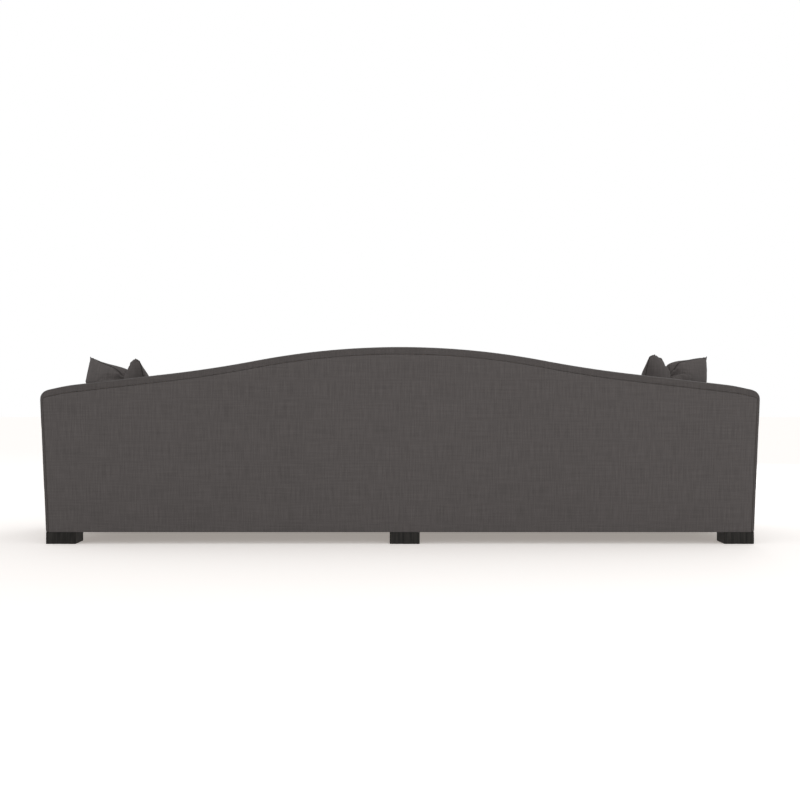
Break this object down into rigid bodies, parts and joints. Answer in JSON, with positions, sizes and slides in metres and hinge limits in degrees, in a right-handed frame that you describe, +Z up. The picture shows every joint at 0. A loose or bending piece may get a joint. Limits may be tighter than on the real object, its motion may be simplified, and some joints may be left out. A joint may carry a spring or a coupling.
{
  "type": "camelback sofa",
  "caption": "Long low sofa with a camel-shaped back, square padded arms, loose seat cushions, corner throw pillows and square block feet.",
  "frame": {"origin": "on the floor, centred under the bounding box", "axes": "+X along the sofa's width, -Y towards its front, +Y towards its back, +Z up"},
  "size_m": [3.048, 0.9402, 0.8404],
  "materials": {
    "frame_wood": "sawn hardwood, unfinished",
    "webbing": "flat woven webbing",
    "liner_board": "thin grey-brown board",
    "padding": "foam and batting",
    "upholstery_fabric": "matt plain-weave, charcoal grey",
    "deck_cloth": "plain decking cloth",
    "dust_cloth": "thin black bonded cloth",
    "foot_wood": "dark espresso stain, satin",
    "bolt_steel": "zinc plated"
  },
  "bodies": {
    "sofa_frame": {"front_seat_rail": "frame_wood", "side_seat_rail_left": "frame_wood", "side_seat_rail_right": "frame_wood", "seat_cross_rails": "frame_wood", "corner_blocks": "frame_wood", "back_post_left": "frame_wood", "back_post_right": "frame_wood", "back_top_rail": "frame_wood", "back_seat_rail": "frame_wood", "back_uprights": "frame_wood", "back_tacking_rail": "frame_wood", "arm_front_post_left": "frame_wood", "arm_front_post_right": "frame_wood", "arm_top_rail_left": "frame_wood", "arm_top_rail_right": "frame_wood", "arm_tacking_rail_left": "frame_wood", "arm_tacking_rail_right": "frame_wood", "seat_webbing": "webbing", "back_webbing": "webbing", "arm_webbing_left": "webbing", "arm_webbing_right": "webbing", "back_liner": "liner_board", "arm_liner_left": "liner_board", "arm_liner_right": "liner_board", "inside_back_pad": "padding", "front_border_pad": "padding", "deck_pad": "padding", "arm_pad_left": "padding", "arm_pad_right": "padding", "outside_back_cover": "upholstery_fabric", "inside_back_cover": "upholstery_fabric", "front_border_cover": "upholstery_fabric", "arm_facing_left": "upholstery_fabric", "arm_facing_right": "upholstery_fabric", "outside_arm_cover_left": "upholstery_fabric", "outside_arm_cover_right": "upholstery_fabric", "arm_cover_left": "upholstery_fabric", "arm_cover_right": "upholstery_fabric", "deck_cover": "deck_cloth", "dust_cover": "dust_cloth", "foot_front_left": "foot_wood", "foot_front_right": "foot_wood", "foot_front_centre": "foot_wood", "foot_rear_left": "foot_wood", "foot_rear_right": "foot_wood", "foot_rear_centre": "foot_wood", "foot_bolts": "bolt_steel"},
    "seat_cushion_left": {"seat_cushion_cover_left": "upholstery_fabric", "seat_cushion_core_left": "padding"},
    "seat_cushion_centre": {"seat_cushion_cover_centre": "upholstery_fabric", "seat_cushion_core_centre": "padding"},
    "seat_cushion_right": {"seat_cushion_cover_right": "upholstery_fabric", "seat_cushion_core_right": "padding"},
    "pillow_left": {"pillow_cover_left": "upholstery_fabric", "pillow_insert_left": "padding"},
    "pillow_right": {"pillow_cover_right": "upholstery_fabric", "pillow_insert_right": "padding"}
  },
  "joints": [
    {"name": "seat_cushion_left_lift", "type": "slide", "parent": "sofa_frame", "child": "seat_cushion_left", "axis": [0, 0, 1], "range_m": [0, 0.45]},
    {"name": "seat_cushion_centre_lift", "type": "slide", "parent": "sofa_frame", "child": "seat_cushion_centre", "axis": [0, 0, 1], "range_m": [0, 0.45]},
    {"name": "seat_cushion_right_lift", "type": "slide", "parent": "sofa_frame", "child": "seat_cushion_right", "axis": [0, 0, 1], "range_m": [0, 0.45]},
    {"name": "pillow_left_lift", "type": "slide", "parent": "seat_cushion_left", "child": "pillow_left", "axis": [0, 0, 1], "range_m": [0, 0.45]},
    {"name": "pillow_right_lift", "type": "slide", "parent": "seat_cushion_right", "child": "pillow_right", "axis": [0, 0, 1], "range_m": [0, 0.45]}
  ]
}
